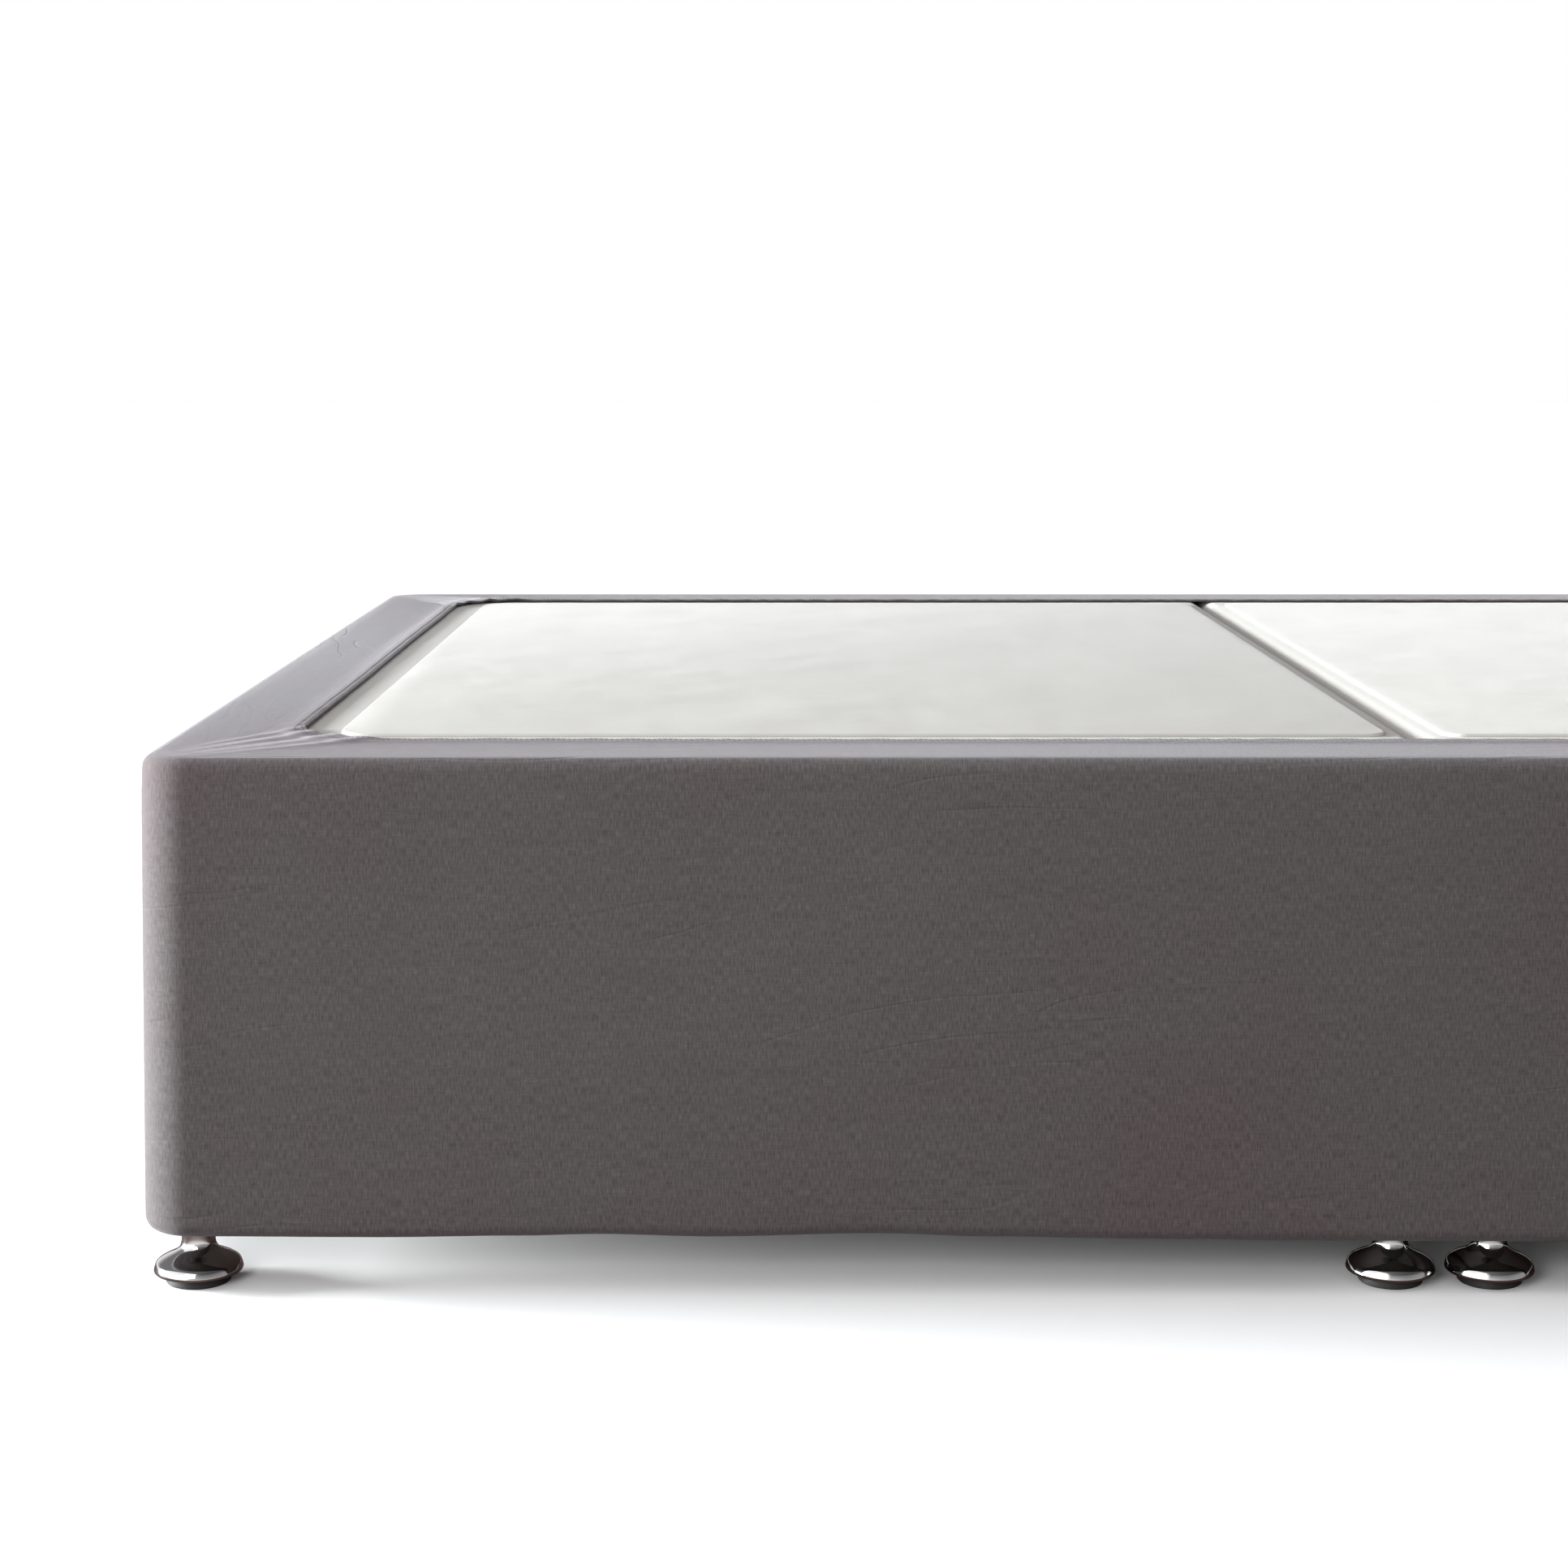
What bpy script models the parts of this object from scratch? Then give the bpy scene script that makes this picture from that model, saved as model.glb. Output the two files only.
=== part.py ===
"""A stretch wrap fitted round the sides of a two-half divan bed base.

Metres, +Z up. +X runs from the foot end to the head end, and -Y is the long side that faces the room.
The origin is on the floor under the middle of the base.
"""

import math

import bmesh
import bpy
from mathutils import Vector

MM = 0.001

# Divan base
BASE_LENGTH = 1.900
BASE_WIDTH = 1.350
BASE_HEIGHT = 0.343
GLIDE_HEIGHT = 0.046
HALVES_GAP = 0.001
BASE_CORNER = 0.042
JOINT_CORNER = 0.018
BASE_EDGE = 0.014
DECK_MARGIN = 0.125
DECK_JOINT_MARGIN = 0.020
DECK_CORNER = 0.030
DECK_RISE = 0.0026

# Wrap cloth, measured on its inner face, which lies CLOTH_GAP off the base
CLOTH = 0.0016
CLOTH_GAP = 0.0004
WRAP_CORNER = 0.036
WRAP_EDGE = 0.0085
TOP_LIP = 0.095
TOP_LIP_CORNER = 0.075
BOTTOM_LIP = 0.0215
BOTTOM_LIP_CORNER = 0.012
HEM_WIDTH = 0.012
HEM = 0.0030
HEM_STEP = 0.0015
SAG_RAMP = 0.070

# Drop of the lower edge along each side, starting where the side starts
LOWER_EDGE = (
    # (share of the side, drop in mm)
    (0.000, 2.4),
    (0.076, 3.0),
    (0.132, 1.8),
    (0.162, 0.6),
    (0.207, 2.4),
    (0.272, 0.0),
    (0.319, 2.4),
    (0.385, 4.2),
    (0.450, 5.4),
    (0.545, 6.0),
    (0.640, 4.4),
    (0.730, 2.2),
    (0.800, 3.8),
    (0.880, 1.6),
    (1.000, 2.4),
)
# Height of the gathers in the top hem at each step round a corner, in mm
CORNER_GATHERS = (0.3, 2.2, 0.5, 2.8, 0.2, 2.4, 0.7, 1.9, 0.2)

# Steps of the wrap's mesh
CORNER_STEPS = len(CORNER_GATHERS) - 1
LONG_STEPS = 30
SHORT_STEPS = 18
EDGE_STEPS = 3

# Bell glide
GLIDE_INSET = 0.036
GLIDE_SIDES = 20
PAD_RADIUS = 0.0235
PAD_HEIGHT = 0.0074
SEAT_GAP = 0.0003
NECK_TOP_RADIUS = 0.0140
BELL_FOOT_RADIUS = 0.0302
BELL_PROFILE = (
    # (radius, height above the floor) in mm, from the waist of the neck to the rim
    (12.4, 37.0),
    (12.2, 31.0),
    (13.5, 26.5),
    (16.8, 23.0),
    (21.0, 20.6),
    (28.0, 17.0),
    (31.7, 14.2),
    (32.5, 12.0),
    (32.0, 9.6),
)

BASE_BOTTOM = GLIDE_HEIGHT
BASE_TOP = GLIDE_HEIGHT + BASE_HEIGHT
SHARP_ANGLE = math.radians(35)


def clear_scene():
    for obj in list(bpy.data.objects):
        bpy.data.objects.remove(obj)


def plain_material(name, colour, roughness, metallic=0.0):
    material = bpy.data.materials.new(name)
    material.use_nodes = True
    shader = material.node_tree.nodes["Principled BSDF"]
    shader.inputs["Base Color"].default_value = (*colour, 1.0)
    shader.inputs["Roughness"].default_value = roughness
    shader.inputs["Metallic"].default_value = metallic
    material.diffuse_color = (*colour, 1.0)
    return material


def add_object(name, mesh_builder, material):
    mesh = bpy.data.meshes.new(name)
    bmesh.ops.recalc_face_normals(mesh_builder, faces=mesh_builder.faces)
    mesh_builder.to_mesh(mesh)
    mesh_builder.free()
    mesh.materials.append(material)
    mesh.shade_smooth()
    mesh.set_sharp_from_angle(angle=SHARP_ANGLE)
    obj = bpy.data.objects.new(name, mesh)
    bpy.context.scene.collection.objects.link(obj)
    return obj


def join_rings(builder, rings):
    """Faces between each ring of vertices and the next one."""
    for ring, following in zip(rings, rings[1:]):
        for i in range(len(ring)):
            j = (i + 1) % len(ring)
            builder.faces.new((ring[i], ring[j], following[j], following[i]))


def stacked_solid(name, outlines, material):
    """A closed solid from (points, z) outlines, with a flat face at each end."""
    builder = bmesh.new()
    rings = [[builder.verts.new((x, y, z)) for x, y in points] for points, z in outlines]
    join_rings(builder, rings)
    builder.faces.new(rings[0])
    builder.faces.new(rings[-1])
    return add_object(name, builder, material)


def corner_arc(centre, radius, start_degrees, steps):
    angles = [math.radians(start_degrees + 90 * i / steps) for i in range(steps + 1)]
    return [centre + radius * Vector((math.cos(a), math.sin(a))) for a in angles]


def rounded_outline(low, high, radii, corner_steps, side_steps):
    """Anticlockwise outline of a rectangle, from its +X +Y corner. radii and side_steps follow that order too."""
    corners = ((high.x, high.y), (low.x, high.y), (low.x, low.y), (high.x, low.y))
    inward = ((-1, -1), (1, -1), (1, 1), (-1, 1))
    arcs = []
    for k, (corner, way, radius) in enumerate(zip(corners, inward, radii)):
        centre = Vector(corner) + radius * Vector(way)
        arcs.append(corner_arc(centre, radius, 90 * k, corner_steps))
    points = []
    for k, arc in enumerate(arcs):
        start, end, steps = arc[-1], arcs[(k + 1) % 4][0], side_steps[k]
        points += arc
        points += [start.lerp(end, j / steps) for j in range(1, steps)]
    return points


def smooth_table(table, share):
    """Value of a two-column table at this share, eased between its rows."""
    for (start, low), (end, high) in zip(table, table[1:]):
        if share <= end:
            ease = 0.5 - 0.5 * math.cos(math.pi * (share - start) / (end - start))
            return low + (high - low) * ease
    return table[-1][1]


def wrap_stations():
    """(drop, gather) in metres for each point of the wrap's outline, in rounded_outline's order.

    The share runs from the foot end on both long sides, so the back repeats the front's waves.
    """
    stations = []
    for k, steps in enumerate((LONG_STEPS, SHORT_STEPS) * 2):
        corner_drop = LOWER_EDGE[0][1]
        stations += [(corner_drop * MM, height * MM) for height in CORNER_GATHERS]
        for j in range(1, steps):
            share = j / steps if k in (1, 2) else 1 - j / steps
            stations.append((smooth_table(LOWER_EDGE, share) * MM, 0.0))
    return stations


def edge_arc(z_centre, from_degrees, to_degrees):
    """Rows (out, z, facing, thickness, corner, drop, gather) round the base's top or bottom edge."""
    rows = []
    for i in range(EDGE_STEPS + 1):
        facing = from_degrees + (to_degrees - from_degrees) * i / EDGE_STEPS
        angle = math.radians(facing)
        out = CLOTH_GAP - WRAP_EDGE * (1 - math.cos(angle))
        z = z_centre + WRAP_EDGE * math.sin(angle)
        drop = 1.0 if to_degrees < 0 else 0.0
        rows.append((out, z, facing, CLOTH, WRAP_CORNER + out, drop, 0.0))
    return rows


def wrap_section():
    """Rows down the wrap's inner face, from the top hem over the wall to the bottom hem.

    out is the distance outward from the base's side, facing the direction of the cloth's outer side in
    degrees above the horizontal, and corner the radius of the outline's corners at that row.
    """
    over, under = BASE_TOP + CLOTH_GAP, BASE_BOTTOM - CLOTH_GAP
    lip_middle = -0.5 * TOP_LIP
    hem_start = HEM_WIDTH - TOP_LIP
    low_hem_start = HEM_WIDTH - BOTTOM_LIP
    middle_corner = 0.5 * (WRAP_CORNER + TOP_LIP_CORNER)
    rows = [
        (-TOP_LIP, over, 90, HEM, TOP_LIP_CORNER, 0.0, 1.0),
        (hem_start, over, 90, HEM, TOP_LIP_CORNER - HEM_WIDTH, 0.0, 0.9),
        (hem_start + HEM_STEP, over, 90, CLOTH, TOP_LIP_CORNER - HEM_WIDTH, 0.0, 0.9),
        (lip_middle, over, 90, CLOTH, middle_corner, 0.0, 0.5),
    ]
    rows += edge_arc(over - WRAP_EDGE, 90, 0)
    rows.append((CLOTH_GAP, BASE_BOTTOM + SAG_RAMP, 0, CLOTH, WRAP_CORNER + CLOTH_GAP, 0.0, 0.0))
    rows += edge_arc(under + WRAP_EDGE, 0, -90)
    rows += [
        (low_hem_start, under, -90, HEM, 0.5 * (WRAP_CORNER + BOTTOM_LIP_CORNER), 0.8, 0.0),
        (-BOTTOM_LIP, under, -90, HEM, BOTTOM_LIP_CORNER, 0.5, 0.0),
    ]
    return rows


def wrap_ring(out, z, corner):
    half = Vector((BASE_LENGTH / 2 + out, BASE_WIDTH / 2 + out))
    side_steps = (LONG_STEPS, SHORT_STEPS) * 2
    return [(p.x, p.y, z) for p in rounded_outline(-half, half, [corner] * 4, CORNER_STEPS, side_steps)]


def build_wrap(material):
    """The sheet's inner rows run one way and its outer rows back, so each station is a closed loop."""
    stations = wrap_stations()
    inner, outer = [], []
    for out, z, facing, thickness, corner, drop, gather in wrap_section():
        reach = thickness * math.cos(math.radians(facing))
        rise = thickness * math.sin(math.radians(facing))
        inner.append((wrap_ring(out, z, corner), drop, gather))
        outer.append((wrap_ring(out + reach, z + rise, corner + reach), drop, gather))
    builder = bmesh.new()
    rings = []
    for ring, drop_share, gather_share in inner + outer[::-1]:
        verts = []
        for (x, y, z), (drop, gather) in zip(ring, stations):
            verts.append(builder.verts.new((x, y, z - drop * drop_share + gather * gather_share)))
        rings.append(verts)
    join_rings(builder, rings + rings[:1])
    return add_object("wrap", builder, material)


def base_outlines(toward_joint):
    """Outlines (points, z) up one half, from its underside to its deck. toward_joint is +1 for the foot half."""
    rings = []
    edge_angles = [math.radians(90 * i / EDGE_STEPS) for i in range(EDGE_STEPS + 1)]
    lower = [(BASE_EDGE * (1 - math.sin(a)), BASE_BOTTOM + BASE_EDGE * (1 - math.cos(a))) for a in edge_angles]
    upper = [(inset, BASE_TOP + BASE_BOTTOM - z) for inset, z in lower[::-1]]
    for inset, z in lower + upper:
        rings.append((inset, inset, BASE_CORNER - inset, JOINT_CORNER - inset, z))
    foot = DECK_MARGIN - DECK_RISE
    joint_foot = DECK_JOINT_MARGIN - DECK_RISE
    rings.append((foot, joint_foot, DECK_CORNER, JOINT_CORNER, BASE_TOP))
    rings.append((DECK_MARGIN, DECK_JOINT_MARGIN, DECK_CORNER, JOINT_CORNER, BASE_TOP + DECK_RISE))
    outlines = []
    for inset, joint_inset, corner, joint_corner, z in rings:
        end = -toward_joint * (BASE_LENGTH / 2 - inset)
        joint = -toward_joint * (HALVES_GAP / 2 + joint_inset)
        side = BASE_WIDTH / 2 - inset
        low = Vector((min(end, joint), -side))
        high = Vector((max(end, joint), side))
        at_high, at_low = (joint_corner, corner) if toward_joint > 0 else (corner, joint_corner)
        radii = (at_high, at_low, at_low, at_high)
        outlines.append((rounded_outline(low, high, radii, CORNER_STEPS // 2, (1, 1, 1, 1)), z))
    return outlines


def turned_solid(name, profile, material):
    """A solid turned from (radius, z) rows about the Z axis."""
    turns = [math.tau * i / GLIDE_SIDES for i in range(GLIDE_SIDES)]
    outlines = [([(radius * math.cos(a), radius * math.sin(a)) for a in turns], z) for radius, z in profile]
    return stacked_solid(name, outlines, material)


def place_copies(first, names_and_places):
    """Puts the first object at the first place, and copies that share its mesh at the others."""
    (name, place), *others = names_and_places
    first.name = name
    first.location = place
    for name, place in others:
        copy = bpy.data.objects.new(name, first.data)
        copy.location = place
        bpy.context.scene.collection.objects.link(copy)


def glide_places():
    """(suffix, place) of the eight glides, four under each half."""
    end_x = BASE_LENGTH / 2 - GLIDE_INSET
    joint_x = HALVES_GAP / 2 + GLIDE_INSET
    side_y = BASE_WIDTH / 2 - GLIDE_INSET
    columns = (("foot_end", -end_x), ("foot_joint", -joint_x), ("head_joint", joint_x), ("head_end", end_x))
    rows = (("front", -side_y), ("back", side_y))
    return [(f"{column}_{row}", (x, y, 0.0)) for column, x in columns for row, y in rows]


def build_glides(chrome, plastic):
    profile = [(NECK_TOP_RADIUS, GLIDE_HEIGHT - SEAT_GAP)]
    profile += [(radius * MM, z * MM) for radius, z in BELL_PROFILE]
    profile.append((BELL_FOOT_RADIUS, PAD_HEIGHT + SEAT_GAP))
    bell = turned_solid("glide", profile, chrome)
    pad = turned_solid("pad", [(PAD_RADIUS, PAD_HEIGHT), (PAD_RADIUS, 0.0)], plastic)
    places = glide_places()
    place_copies(bell, [(f"glide_{suffix}", place) for suffix, place in places])
    place_copies(pad, [(f"pad_{suffix}", place) for suffix, place in places])


def main():
    clear_scene()
    jersey = plain_material("charcoal jersey", (0.093, 0.084, 0.086), 0.95)
    platform = plain_material("pale base cloth", (0.44, 0.425, 0.40), 0.9)
    chrome = plain_material("bright chrome", (0.80, 0.80, 0.81), 0.12, 1.0)
    plastic = plain_material("black plastic", (0.02, 0.02, 0.02), 0.5)
    stacked_solid("base_foot_half", base_outlines(1), platform)
    stacked_solid("base_head_half", base_outlines(-1), platform)
    build_glides(chrome, plastic)
    build_wrap(jersey)


main()
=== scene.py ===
import math

import bmesh
import bpy
import numpy as np
from mathutils import Matrix, Vector, noise


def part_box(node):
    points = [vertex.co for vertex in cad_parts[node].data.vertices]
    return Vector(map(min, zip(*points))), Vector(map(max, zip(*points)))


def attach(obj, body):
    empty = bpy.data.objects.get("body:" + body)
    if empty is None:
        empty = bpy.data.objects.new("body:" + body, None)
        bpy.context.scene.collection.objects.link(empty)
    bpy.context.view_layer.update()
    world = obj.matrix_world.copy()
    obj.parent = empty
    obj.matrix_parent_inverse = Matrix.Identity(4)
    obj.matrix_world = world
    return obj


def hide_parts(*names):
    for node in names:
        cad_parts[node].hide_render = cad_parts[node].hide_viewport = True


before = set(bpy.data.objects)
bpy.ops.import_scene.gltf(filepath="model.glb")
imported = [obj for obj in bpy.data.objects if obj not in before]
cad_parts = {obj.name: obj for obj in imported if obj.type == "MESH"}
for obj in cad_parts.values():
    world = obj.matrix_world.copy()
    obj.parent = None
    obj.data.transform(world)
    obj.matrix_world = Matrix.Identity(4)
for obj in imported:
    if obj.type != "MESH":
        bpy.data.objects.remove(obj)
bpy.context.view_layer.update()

MM = 0.001
SAME_LEVEL = 0.01 * MM

# Camera. Its distance is measured from the side's face, and its lens makes one pixel this wide there.
PHOTO_PIXELS = 1932
SENSOR_WIDTH = 36.0
FACE_METRES_PER_PIXEL = 0.585 * MM
CAMERA_DISTANCE = 2.043
CAMERA_HEIGHT = 0.690
CAMERA_X = -0.483
CAMERA_PITCH = math.radians(2.0)
CAMERA_SHIFT_Y = -0.2179
CAMERA_REACH = 50

# Divan base, its corners and its raised deck, between levels that come from the frame
DECK_RISE = 2.6 * MM
DECK_MARGIN = 0.125
DECK_JOINT_MARGIN = 0.020
DECK_CORNER = 0.030
DECK_EDGE = 0.8 * DECK_RISE
BASE_CORNER = 0.042
JOINT_CORNER = 0.018
BASE_EDGE = 0.014
BASE_SEGMENTS = 8
DECK_SEGMENTS = 6
BASE_SMOOTH_ANGLE = math.radians(35)
BASE_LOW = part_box("base_foot_half")[0]
BASE_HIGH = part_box("base_head_half")[1]
BASE_BOTTOM = BASE_LOW.z
BASE_TOP = BASE_HIGH.z - DECK_RISE
BASE_MIDDLE = 0.5 * (BASE_TOP + BASE_BOTTOM)

# Wrap cloth: its rows are worked out on the middle of its thickness, WALL_OUT off the base. A lip is the part that
# turns in over or under the base, and a hem is (its width, the length of its step down to the single cloth).
CLOTH = 1.2 * MM
WALL_OUT = 1.4 * MM
WRAP_CORNER = 0.036
EDGE_RADIUS = 0.0095
TOP_LIP = 0.095
TOP_LIP_CORNER = 0.075
BOTTOM_LIP = 0.0215
BOTTOM_LIP_CORNER = 0.012
TOP_HEM = (0.012, 0.005)
BOTTOM_HEM = (0.0095, 0.003)
HEM_FOLD_RADIUS = 0.65 * MM
HEM_UNDER_LAYER = 1.0 * MM
HEM_TURN_IN_SHORT = 1.5 * MM
SAG_RAMP = 0.070
EDGE_FADE = 0.030

# Unevenness of the cloth. The noise rows are (size, waves a metre on the level, waves a metre upward), with sizes in
# metres, in ripples for the drift, and as a share of the ripples' height for their strength. A fade is the power of
# the way in from the base's edge to the hem.
SWELL = 0.45 * MM
SLOW_SWELL = (0.45 * MM, 2.3, 4.1)
FINER_SWELL = (0.18 * MM, 7.0, 9.0)
FINER_SWELL_SHIFT = 5
HEM_WANDER = (3.2 * MM, 3.1, 8.5)
RIPPLES_PER_METRE = 36.0
RIPPLE_HEIGHT = 1.3 * MM
RIPPLE_DRIFT = (1.6, 9.0, 0.5)
RIPPLE_STRENGTH = (0.5, 5.0, 3.5)
RIPPLE_FADE = 2
GATHER_FADE = 1.4

# Steps of the wrap's mesh
STATION_SPACING = 0.010
CORNER_STEPS = 24
WALL_ROWS = 20
LIP_ROWS = 7
FOLD_STEPS = 5
EDGE_STEPS = 6

# Drop of the lower edge along each side, from the foot end or the back: (share of the side, drop in mm)
LOWER_EDGE = (
    (0.000, 2.4),
    (0.076, 3.0),
    (0.132, 1.8),
    (0.162, 0.6),
    (0.207, 2.4),
    (0.272, 0.0),
    (0.319, 2.4),
    (0.385, 4.2),
    (0.450, 5.4),
    (0.545, 6.0),
    (0.640, 4.4),
    (0.730, 2.2),
    (0.800, 3.8),
    (0.880, 1.6),
    (1.000, 2.4),
)
# Height of the gathers in the top hem at even steps round a corner, in mm
CORNER_GATHERS = (0.3, 2.2, 0.5, 2.8, 0.2, 2.4, 0.7, 1.9, 0.2)
# Faint tension creases in the side: (start share, start height, end share, end height, rise, half width). Shares are
# of the side's length, heights are in metres, and the last two are in mm.
CREASES = (
    (0.16, 0.235, 0.25, 0.240, 0.55, 8),
    (0.20, 0.226, 0.27, 0.232, 0.40, 7),
    (0.27, 0.300, 0.37, 0.330, 0.45, 11),
    (0.10, 0.150, 0.22, 0.162, 0.35, 11),
    (0.36, 0.190, 0.50, 0.205, 0.45, 12),
    (0.44, 0.105, 0.60, 0.098, 0.65, 10),
    (0.62, 0.260, 0.74, 0.247, 0.45, 11),
    (0.70, 0.120, 0.84, 0.132, 0.45, 11),
    (0.84, 0.220, 0.95, 0.236, 0.40, 9),
)

# Hem stitching. Its rows lie this far in from the hem's fold. The rings of a stitch are (place along it, thickness,
# lift), as shares of its half length and its radius.
STITCH_PITCH = 4.0 * MM
STITCH_LENGTH = 3.0 * MM
STITCH_RADIUS = 0.26 * MM
STITCH_LIFT = 0.2 * STITCH_RADIUS
STITCH_ROWS = (0.003, 0.0075)
STITCH_RINGS = ((-1.0, 0.5, -0.9), (-0.72, 0.95, 0.1), (0.72, 0.95, 0.1), (1.0, 0.5, -0.9))

# Bell glide: (radius, height above the floor) in mm, from the top of the neck down to its foot
BELL_SIDES = 56
BELL_PROFILE = (
    (14.1, 45.7),
    (13.9, 44.6),
    (13.2, 41.2),
    (12.6, 37.4),
    (12.2, 33.8),
    (12.3, 30.4),
    (12.9, 27.6),
    (14.1, 25.2),
    (16.0, 23.3),
    (18.8, 21.6),
    (22.4, 19.9),
    (26.2, 18.1),
    (29.2, 16.3),
    (30.5, 15.3),
    (31.1, 14.5),
    (31.6, 13.1),
    (32.1, 11.5),
    (32.4, 10.3),
    (32.5, 9.4),
    (32.2, 8.6),
    (31.5, 8.0),
    (30.7, 7.7),
)
PAD_RADIUS = 23.5 * MM
PAD_HEIGHT = 7.4 * MM
PAD_SIDES = 48
PAD_BEVEL = 1.0 * MM
TURNED_SMOOTH_ANGLE = math.radians(40)

# Strength of the room's light by direction: rows of (axis, from, to, strength at from, strength at to), multiplied.
# The first table lights the part, and the second is what the chrome mirrors, with a window at the front left.
ROOM_LIGHT = (("X", -0.9, 0.9, 1.00, 0.40), ("Z", 0.0, 0.8, 0.95, 0.92), ("Y", -0.9, 0.6, 1.56, 0.70))
ROOM_COLOUR = (0.99, 0.985, 1.0, 1)
WHITE = (1, 1, 1, 1)
MIRRORED_ROOM = (("X", -0.9, 0.7, 1.00, 0.35), ("Z", 0.10, 0.45, 1.30, 0.30))
MIRRORED_WINDOW = (-0.80, -0.55, 0.25)
MIRRORED_WINDOW_EDGE = (0.72, 0.84)
MIRRORED_WINDOW_STRENGTH = 1.3

# Floor: its colour to the camera, the dark colour that it sends up as light, and the one that the chrome mirrors past
# the bed's painted shade. That painted shade is the dark colour, which the chrome mirrors under the bed and in a band
# out from its long sides, with the width set last here.
FLOOR_SIZE = 60
FLOOR_PALE = ((0.90, 0.90, 0.90, 1), (0.92, 0.92, 0.92, 1))
FLOOR_BOUNCE = (0.11, 0.066, 0.060, 1)
FLOOR_MIRRORED = (0.74, 0.70, 0.65, 1)
PAINTED_BED_SHADE = 0.160

# Key light, which shines along +X on the foot end, turned this far forward and down, and a soft fill in front
KEY_STRENGTH = 23.0
KEY_SOFTNESS = math.radians(24)
KEY_DIRECTION = (math.radians(7), math.radians(4))
KEY_COLOUR = (0.955, 1.0, 1.01)
FILL_PLACE = (-1.35, -2.75, 0.95)
FILL_TARGET = (-0.6, -0.7, 0.22)
FILL_SIZE = (1.0, 0.8)
FILL_WATTS = 30

# Two colours that each finish is mottled between
JERSEY_COLOURS = ((0.096, 0.1080, 0.1015, 1), (0.089, 0.0560, 0.0630, 1))
THREAD_COLOURS = ((0.05, 0.045, 0.047, 1), (0.15, 0.14, 0.142, 1))
PLATFORM_COLOURS = ((0.41, 0.395, 0.37, 1), (0.47, 0.455, 0.43, 1))
CHROME_COLOURS = ((0.58, 0.58, 0.585, 1), (0.53, 0.525, 0.52, 1))
PLASTIC_COLOURS = ((0.012, 0.012, 0.012, 1), (0.035, 0.034, 0.033, 1))

# Loops of the knit, which lean down by a share of a course, and threads of the weave. The noise scales of the
# jersey's marks run round, down and through the cloth. Its creases slope, lie in patches of this noise scale and fade
# in over this much of that noise. Depths are those of the bumps.
KNIT_WALE = 1.05 * MM
KNIT_COURSE = 0.85 * MM
KNIT_LEAN = 0.9
WEAVE_PITCH = 1.2 * MM
FIBRE_STREAKS = (900.0, 150.0, 1.0)
YARN_LINES = (90.0, 700.0, 1.0)
DRAG_MARKS = (11.0, 85.0, 1.0)
DRAG_TURN = 0.09
CREASE_SLOPE = 0.10
CREASE_PATCHES = 0.6
CREASE_FADE = 0.08
JERSEY_DEPTH = 0.18 * MM
CREASE_DEPTH = 0.36 * MM
THREAD_DEPTH = 0.1 * MM
WEAVE_DEPTH = 0.25 * MM
SLACK_DEPTH = 4.0 * MM
SCUFF_DEPTH = 0.1 * MM


# Making and editing meshes

def deselect_all():
    bpy.ops.object.select_all(action="DESELECT")


def make_active(obj):
    deselect_all()
    obj.select_set(True)
    bpy.context.view_layer.objects.active = obj


def add_object(name, data):
    """A new object of the scene with this mesh, light or camera."""
    obj = bpy.data.objects.new(name, data)
    bpy.context.scene.collection.objects.link(obj)
    return obj


def turn_faces_outward(obj):
    make_active(obj)
    bpy.ops.object.mode_set(mode="EDIT")
    bpy.ops.mesh.select_all(action="SELECT")
    bpy.ops.mesh.normals_make_consistent(inside=False)
    bpy.ops.object.mode_set(mode="OBJECT")


def select_edges(obj, wanted):
    """In edit mode, leaves selected only the edges for which wanted(edge) holds."""
    editing = bmesh.from_edit_mesh(obj.data)
    for part in [*editing.verts, *editing.edges, *editing.faces]:
        part.select = False
    chosen = [edge for edge in editing.edges if wanted(edge)]
    for edge in chosen:
        edge.select_set(True)
    bmesh.update_edit_mesh(obj.data)


def apply_modifier(obj, name, kind, **settings):
    make_active(obj)
    modifier = obj.modifiers.new(name, kind)
    for key, value in settings.items():
        setattr(modifier, key, value)
    bpy.ops.object.modifier_apply(modifier=modifier.name)


def rounded_block(name, low, high, corner_at, edge_radius, bottom_too, segments):
    """A block between two corners. corner_at gives the radius of its upright edges at each end, and edge_radius that
    of its top edges, and with bottom_too also of its lower ones."""
    deselect_all()
    bpy.ops.mesh.primitive_cube_add(size=1, location=(low + high) / 2)
    block = bpy.context.object
    block.name = name
    block.scale = high - low
    bpy.ops.object.transform_apply(location=True, rotation=True, scale=True)
    bpy.ops.object.mode_set(mode="EDIT")
    bpy.ops.mesh.select_mode(type="EDGE")

    def upright(edge):
        a, b = (v.co for v in edge.verts)
        return abs(a.z - b.z) > 0.5 * (high.z - low.z)

    for radius in sorted({corner_at(x) for x in (low.x, high.x)}):
        place = [x for x in (low.x, high.x) if corner_at(x) == radius]
        select_edges(block, lambda e: upright(e) and min(abs(e.verts[0].co.x - x) for x in place) < MM)
        bpy.ops.mesh.bevel(offset=radius, offset_type="OFFSET", segments=segments, affect="EDGES")
    levels = (high.z, low.z) if bottom_too else (high.z,)
    for level in levels:
        select_edges(block, lambda e: max(abs(v.co.z - level) for v in e.verts) < SAME_LEVEL)
        bpy.ops.mesh.bevel(offset=edge_radius, offset_type="OFFSET", segments=segments, affect="EDGES")
    bpy.ops.object.mode_set(mode="OBJECT")
    return block


# Wrap cloth

def smooth_table(table, share):
    """Value of a two-column table at this share, eased between its rows."""
    for (start, low), (end, high) in zip(table, table[1:]):
        if share <= end:
            ease = 0.5 - 0.5 * math.cos(math.pi * (share - start) / (end - start))
            return low + (high - low) * ease
    return table[-1][1]


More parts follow.
